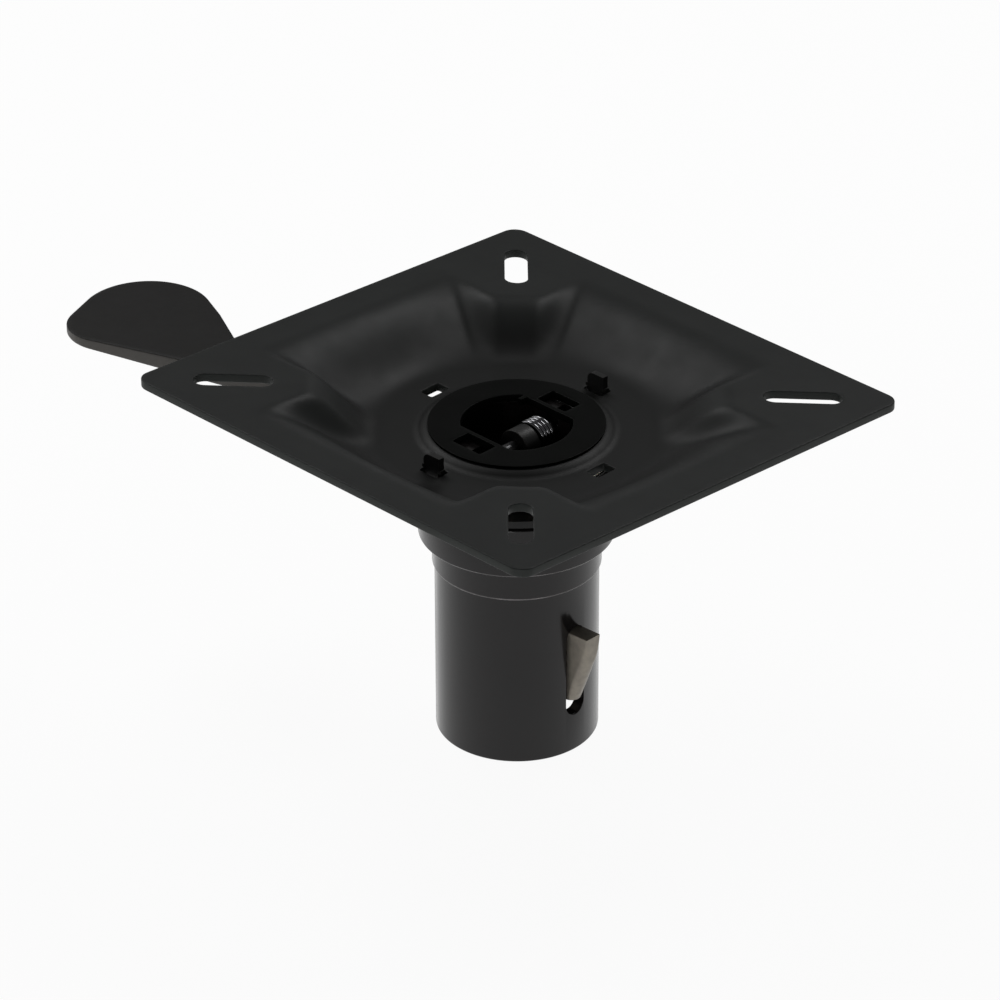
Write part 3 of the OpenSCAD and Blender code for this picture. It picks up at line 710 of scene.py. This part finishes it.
# Bearing washer: plain natural nylon, turned smooth, pinched between flange and dish.
WASHER_IN_R, WASHER_OUT_R, WASHER_TOP = 26.25, 33.0, 109.3
nylon = surface("natural_nylon", "#c9c5b8", "#d3cfc3", 9, (0.38, 0.48), 0.8, 0.004,
                **{"Subsurface Weight": 0.15, "Subsurface Scale": 0.002})
washer_profile = rounded([(WASHER_IN_R, FLANGE_TOP, 0.3), (WASHER_OUT_R, FLANGE_TOP, 0.4),
                          (WASHER_OUT_R, WASHER_TOP, 0.4), (WASHER_IN_R, WASHER_TOP, 0.3)], 4)
finish_piece(make_mesh("thrust_washer", turned(washer_profile, 160)), "thrust_washer",
             "stem_body", nylon, ["bearing_washer"])

# Lock lever: a stamped ring with a tooth, two upset ears and a joggled arm, coated black.
# The frame's own solid has its true form, so it stays and takes the coat.
lever_coat = surface("stamped_lever_coat", "#121212", "#171716", 8, (0.36, 0.46), 0.6, 0.01,
                     **{"Specular IOR Level": 0.2})
lever_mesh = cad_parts["lock_lever"].data
lever_mesh.materials.clear()
lever_mesh.materials.append(lever_coat)

# Handle grip: a half-moon moulded over the arm's blade in dull brownish black plastic, with a
# painted highlight that makes its upright edge paler. It thins towards the tip.
ARM_A = math.radians(200.6)
GRIP_H = 114.5
GRIP_START, GRIP_END = 82.0, 169.9
GRIP_TIP_T, GRIP_ROOT_T = 2.8, 8.0
GRIP_EDGE, GRIP_ROOT_W, GRIP_W = 5.6, 19.4, 48.7
GRIP_TIP_R, MOON_R = 14.0, 22.5
SHOULDER_L, SHOULDER_R = 37.9, 12.0
FLANK_END, FLANK_ROUND = 109.3, 0.3
ROOT_ROUND = 2.5
WRAP_STEP, GRIP_STEP, GRIP_MESH = 0.3, 1.2, 2.2


def wrapped(circles, spacing):
    """The tight line round circles given as (x, y, radius), counterclockwise."""
    a = np.linspace(0, 2 * math.pi, 720, endpoint=False)
    points = np.concatenate([np.stack((x + r * np.cos(a), y + r * np.sin(a)), 1)
                             for x, y, r in circles])
    points = points[np.lexsort((points[:, 1], points[:, 0]))]
    halves = []
    for row in (points, points[::-1]):
        line = []
        for q in row:
            while len(line) > 1 and np.cross(line[-1] - line[-2], q - line[-2]) <= 0:
                line.pop()
            line.append(q)
        halves += line[:-1]
    line = filled_in(np.array(halves), WRAP_STEP)
    return line[::max(1, int(spacing / WRAP_STEP))]


def grip_shell():
    low, root_low = GRIP_EDGE - GRIP_W, GRIP_EDGE - GRIP_ROOT_W
    moon = wrapped([(GRIP_END - GRIP_TIP_R, GRIP_EDGE - GRIP_TIP_R, GRIP_TIP_R),
                    (GRIP_END - MOON_R, low + MOON_R, MOON_R),
                    (GRIP_END - SHOULDER_L, low + MOON_R, SHOULDER_R),
                    (FLANK_END + FLANK_ROUND, root_low + FLANK_ROUND, FLANK_ROUND),
                    (FLANK_END + FLANK_ROUND, GRIP_EDGE - FLANK_ROUND, FLANK_ROUND)], GRIP_STEP)
    first = int(np.argmin(np.hypot(moon[:, 0] - FLANK_END, moon[:, 1] - GRIP_EDGE + GRIP_ROOT_W)))
    moon = np.roll(moon, -first, axis=0)
    moon = moon[moon[:, 0] > FLANK_END + 1]
    root = [(GRIP_START + ROOT_ROUND - ROOT_ROUND * math.sin(t),
             GRIP_EDGE - ROOT_ROUND + ROOT_ROUND * math.cos(t))
            for t in np.linspace(0, math.pi / 2, 6)]
    root += [(x, 2 * GRIP_EDGE - GRIP_ROOT_W - y) for x, y in root[::-1]]
    outline = np.array(root + [(FLANK_END - 1, root_low)] + [tuple(p) for p in moon])
    fill = grid_plan(GRIP_START, GRIP_END, low, GRIP_EDGE, GRIP_MESH)

    def lift(plan, share):
        t = (GRIP_END - plan[:, 0]) / (GRIP_END - GRIP_START)
        thick = GRIP_TIP_T + (GRIP_ROOT_T - GRIP_TIP_T) * t
        return np.column_stack((turned_plan(plan, ARM_A), GRIP_H - share * thick))

    return slab(filled_in(outline, GRIP_STEP), [], fill, lift, GRIP_TIP_T, 0.45)


grip_paint = surface("matt_moulded_grip", "#131211", "#171615", 10, (0.44, 0.54), 0.8, 0.012,
                     **{"Specular IOR Level": 0.14})
# Painted highlight: the grip's upright edge is mixed paler, for the light it catches from the floor
paint_edge_highlight(grip_paint, "#605e5b")
finish_piece(make_mesh("half_moon_grip", grip_shell()), "half_moon_grip", "lever_body",
             grip_paint, ["handle_grip"])

# Latch: a wedge of sintered metal on a long arm, warm grey and satin, with a fully round nose
# that is cut flat at its tip. It hangs on its pin and stands out of the slot. The arm and its
# hub stay inside the stem and are painted near black, as shade.
LATCH_T = 6.35
EYE_R = 6.2
TIP_X, TIP_H = 35.6, 46.3
NOSE_H, NOSE_X = 20.3, 28.6
NOSE_SLANT = math.radians(20.8)
LATCH_CROWN = 1.2
TIP_SOFT = 0.85
HUB_R, HUB_L = 5.1, 8.2
HUB_PLAY, HUB_SUNK = 0.1, 0.3
WALL_X = 23.18
WEDGE_DEPTH, WEDGE_EDGE, WEDGE_END = 9, 0.35, 0.8
CROWN_REACH = 7.5
ARM_FOOT, ARM_DIP, ARM_EDGE = 7, 8, 0.3
ARM_FRONT_DROPS, ARM_BACK_DROPS, ARM_WAIST = (44, 9), (20, 50), 12


def latch_wedge():
    """The wedge: level sections with a full round at the front, leaning out as they rise and
    cut off upright at the tip."""
    top = TIP_H + LATCH_CROWN
    half = LATCH_T / 2
    turns = np.linspace(-math.pi / 2, math.pi / 2, 25)
    rounds = np.linspace(0, math.pi / 2, 5)
    levels = [NOSE_H + WEDGE_EDGE * (1 - math.cos(t)) for t in rounds]
    levels += list(np.linspace(NOSE_H + WEDGE_END, top - WEDGE_END, 44))
    levels += [top - WEDGE_EDGE * (1 - math.sin(t)) for t in rounds]
    rows = []
    for z in levels:
        edge = min(z - NOSE_H, top - z, WEDGE_EDGE)
        inset = WEDGE_EDGE - math.sqrt(max(WEDGE_EDGE ** 2 - (WEDGE_EDGE - edge) ** 2, 0))
        front = NOSE_X + (z - NOSE_H) * math.tan(NOSE_SLANT)
        reach = half / math.cos(NOSE_SLANT)
        centre = front - reach
        nose = [(centre + reach * math.cos(t), half * math.sin(t)) for t in turns]
        plan = [(WALL_X - WEDGE_DEPTH, -half)] + nose + [(WALL_X - WEDGE_DEPTH, half)]
        plan = filled_in(np.array(plan), 50)
        plan = plan - outward(plan) * inset
        over = plan[:, 0] - (TIP_X - TIP_SOFT)
        soft = TIP_X - TIP_SOFT * np.exp(-over / TIP_SOFT)
        plan[:, 0] = np.where(over > 0, soft, plan[:, 0])
        near = (plan[:, 0] - TIP_X + CROWN_REACH) / CROWN_REACH
        crown = LATCH_CROWN * (1 - smooth_step(near))
        rows.append(np.column_stack((plan, z - crown * (z - NOSE_H) / (top - NOSE_H))))
    return lofted(rows)


def latch_arm():
    """The arm from the wedge up to the eye on the pin, drawn in its own upright plane."""
    eye = [(PIN_X + EYE_R * math.cos(a), PIN_H + EYE_R * math.sin(a), 0)
           for a in np.linspace(0, math.pi, 20)]
    line = [(WALL_X - ARM_FOOT, TIP_H - ARM_DIP, 1), (WALL_X, TIP_H - ARM_DIP, 1),
            (WALL_X, PIN_H - ARM_FRONT_DROPS[0], 3), (PIN_X + EYE_R, PIN_H - ARM_FRONT_DROPS[1], 3)]
    line += eye + [(PIN_X - EYE_R, PIN_H - ARM_BACK_DROPS[0], 3),
                   (WALL_X - ARM_WAIST, PIN_H - ARM_BACK_DROPS[1], 4)]
    line = filled_in(rounded(line, 5), 1.0)

    def lift(plan, share):
        return np.column_stack((plan[:, 0], (LATCH_T - 0.02) * (share - 0.5), plan[:, 1]))

    return slab(line, [], grid_plan(-5, 40, 18, 116, 2.0), lift, LATCH_T, ARM_EDGE)


def latch_hub():
    """The round hub that the coil is wound on, standing off one face of the eye."""
    inner, root, end = PIN_R + HUB_PLAY, LATCH_T / 2 - HUB_SUNK, LATCH_T / 2 + HUB_L
    profile = rounded([(inner, root, 0), (HUB_R, root, 0), (HUB_R, end, 0.4), (inner, end, 0.2)], 3)
    points, faces = turned(profile, 48)
    return np.stack((points[:, 0] + PIN_X, points[:, 2], PIN_H - points[:, 1]), 1), faces


latch_metal = surface("satin_sintered_steel", "#7a746c", "#8c867b", 3, (0.36, 0.5), 0.35, 0.01,
                      Metallic=0.6)
finish_piece(make_mesh("sintered_latch", latch_wedge()), "sintered_latch", "latch_body",
             latch_metal, ["latch"], 28)
# Painted shade: the arm and hub take a near-black tone for the shade inside the stem
arm_steel = surface("shade_darkened_arm_steel", "#161616", "#1f1e1d", 3, (0.4, 0.52), 0.35, 0.008,
                    Metallic=0.6)
finish_piece(make_mesh("latch_arm", joined(latch_arm(), latch_hub())), "latch_arm", "latch_body",
             arm_steel, ["latch"], 28)

# Latch pin: a plain ground steel pin across the neck, lying in the stem's two saddles.
PIN_END = 20.2
ON_AXIS = 0.0001
# Painted shade: the pin's steel is given a dark grey tone for the shade inside the stem
pin_steel = surface("shade_darkened_ground_pin_steel", "#3f3f40", "#4b4b4c", 2, (0.3, 0.42), 0.3, 0.004,
                    Metallic=1.0)


def pin_shell():
    profile = rounded([(ON_AXIS, -PIN_END, 0), (PIN_R, -PIN_END, 0.4),
                       (PIN_R, PIN_END, 0.4), (ON_AXIS, PIN_END, 0)], 4)
    points, faces = turned(profile, 48)
    return np.stack((points[:, 0] + PIN_X, points[:, 2], points[:, 1] + PIN_H), 1), faces


finish_piece(make_mesh("cross_pin", pin_shell()), "cross_pin", "stem_body",
             pin_steel, ["latch_pin"])

# Springs: bright drawn wire. The latch spring is wound round the latch's hub and bears on the
# bore. The lever spring is a short coil between the dish floor and the lever's ring.
COIL_R, COIL_WIRE_R, COIL_PITCH, COIL_TURNS = 6.1, 0.7, 1.5, 3
COIL_GAP, COIL_LEG_DROP, HOOK_DROP = 0.3, 22.5, 17
LEVER_COIL_A, LEVER_COIL_MIDDLE_R = math.radians(215), 38.65
LEVER_COIL_R, LEVER_COIL_WIRE_R, LEVER_COIL_TURNS = 3, 0.45, 3.5
LEVER_TOP, DISH_UNDER, LEVER_COIL_INSET = 102.1, 109.4, 0.5
WIRE_SIDES = 16
# Painted shade: the wire is given a dark grey tone, so that only some turns catch a highlight
spring_wire = surface("shade_darkened_spring_wire", "#6a6a6c", "#7b7b7d", 2, (0.12, 0.17), 0.3, 0.002,
                      Metallic=1.0)


def wire_tree():
    """A node tree that draws a round wire along a line, with its thickness and its finish."""
    tree = bpy.data.node_groups.new("drawn_wire", "GeometryNodeTree")
    face = tree.interface
    face.new_socket("Line", in_out="INPUT", socket_type="NodeSocketGeometry")
    face.new_socket("Wire Radius", in_out="INPUT", socket_type="NodeSocketFloat")
    face.new_socket("Sides", in_out="INPUT", socket_type="NodeSocketInt")
    face.new_socket("Finish", in_out="INPUT", socket_type="NodeSocketMaterial")
    face.new_socket("Wire", in_out="OUTPUT", socket_type="NodeSocketGeometry")
    source = add(tree, "NodeGroupInput")
    ring = add(tree, "GeometryNodeCurvePrimitiveCircle",
               {"Resolution": source.outputs["Sides"], "Radius": source.outputs["Wire Radius"]})
    line = add(tree, "GeometryNodeMeshToCurve", {"Mesh": source.outputs["Line"]})
    swept = add(tree, "GeometryNodeCurveToMesh",
                {"Curve": line.outputs[0], "Profile Curve": ring.outputs[0], "Fill Caps": True})
    single = add(tree, "GeometryNodeRealizeInstances", {"Geometry": swept.outputs[0]})
    painted = add(tree, "GeometryNodeSetMaterial", {"Geometry": single.outputs[0],
                                                    "Material": source.outputs["Finish"]})
    add(tree, "NodeGroupOutput", {"Wire": painted.outputs[0]})
    return tree


drawn_wire = wire_tree()


def wire_piece(name, line, radius, node):
    """Draws a spring as a round wire along a fixed line."""
    mesh = bpy.data.meshes.new(name + "_line")
    mesh.from_pydata([tuple(Vector(p) * MM) for p in line],
                     [(i, i + 1) for i in range(len(line) - 1)], [])
    holder = bpy.data.objects.new(name + "_line", mesh)
    scene.collection.objects.link(holder)
    step = holder.modifiers.new("wire", "NODES")
    step.node_group = drawn_wire
    settings = {"Wire Radius": radius * MM, "Sides": WIRE_SIDES, "Finish": spring_wire}
    for item in drawn_wire.interface.items_tree:
        if item.in_out == "INPUT" and item.name in settings:
            step[item.identifier] = settings[item.name]
    graph = bpy.context.evaluated_depsgraph_get()
    result = bpy.data.meshes.new_from_object(holder.evaluated_get(graph))
    bpy.data.objects.remove(holder)
    made = finish_piece(result, name, None, spring_wire, [node], 50)
    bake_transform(made)


def latch_spring_line():
    """A hook over the arm's back, the coil round the hub, and a leg to the bore's wall."""
    y0 = LATCH_T / 2 + COIL_WIRE_R + COIL_GAP
    y1 = y0 + COIL_PITCH * (COIL_TURNS + 0.66)
    hook_x = PIN_X - EYE_R - COIL_WIRE_R - 0.05
    wall_x = -math.sqrt(BORE_R ** 2 - y1 ** 2) + COIL_WIRE_R + 0.1
    leg = (wall_x - PIN_X, -COIL_LEG_DROP)
    leave = math.degrees(math.atan2(leg[1], leg[0]))
    leave += math.degrees(math.acos(COIL_R / math.hypot(*leg)))
    leave -= 360 * COIL_TURNS
    steps = 160
    line = [(hook_x, -LATCH_T / 2 + 1, PIN_H - HOOK_DROP), (hook_x, y0 - 1.5, PIN_H - HOOK_DROP),
            (hook_x, y0 - 0.4, PIN_H - 16.6), (hook_x, y0, PIN_H - 15.5)]
    for i in range(steps + 1):
        a = math.radians(180 + (leave - 180) * i / steps)
        line.append((PIN_X + COIL_R * math.cos(a), y0 + (y1 - y0) * i / steps,
                     PIN_H + COIL_R * math.sin(a)))
    return line + [(wall_x, y1, PIN_H - COIL_LEG_DROP)]


def lever_spring_line():
    a0, r = LEVER_COIL_A, LEVER_COIL_MIDDLE_R
    low, high = LEVER_TOP + LEVER_COIL_INSET, DISH_UNDER - LEVER_COIL_INSET
    steps = 96
    line = []
    for i in range(steps + 1):
        a = 2 * math.pi * LEVER_COIL_TURNS * i / steps
        line.append((r * math.cos(a0) + LEVER_COIL_R * math.cos(a),
                     r * math.sin(a0) + LEVER_COIL_R * math.sin(a),
                     low + (high - low) * i / steps))
    return line


wire_piece("latch_coil", latch_spring_line(), COIL_WIRE_R, "latch_spring")
wire_piece("lever_coil", lever_spring_line(), LEVER_COIL_WIRE_R, "lever_spring")
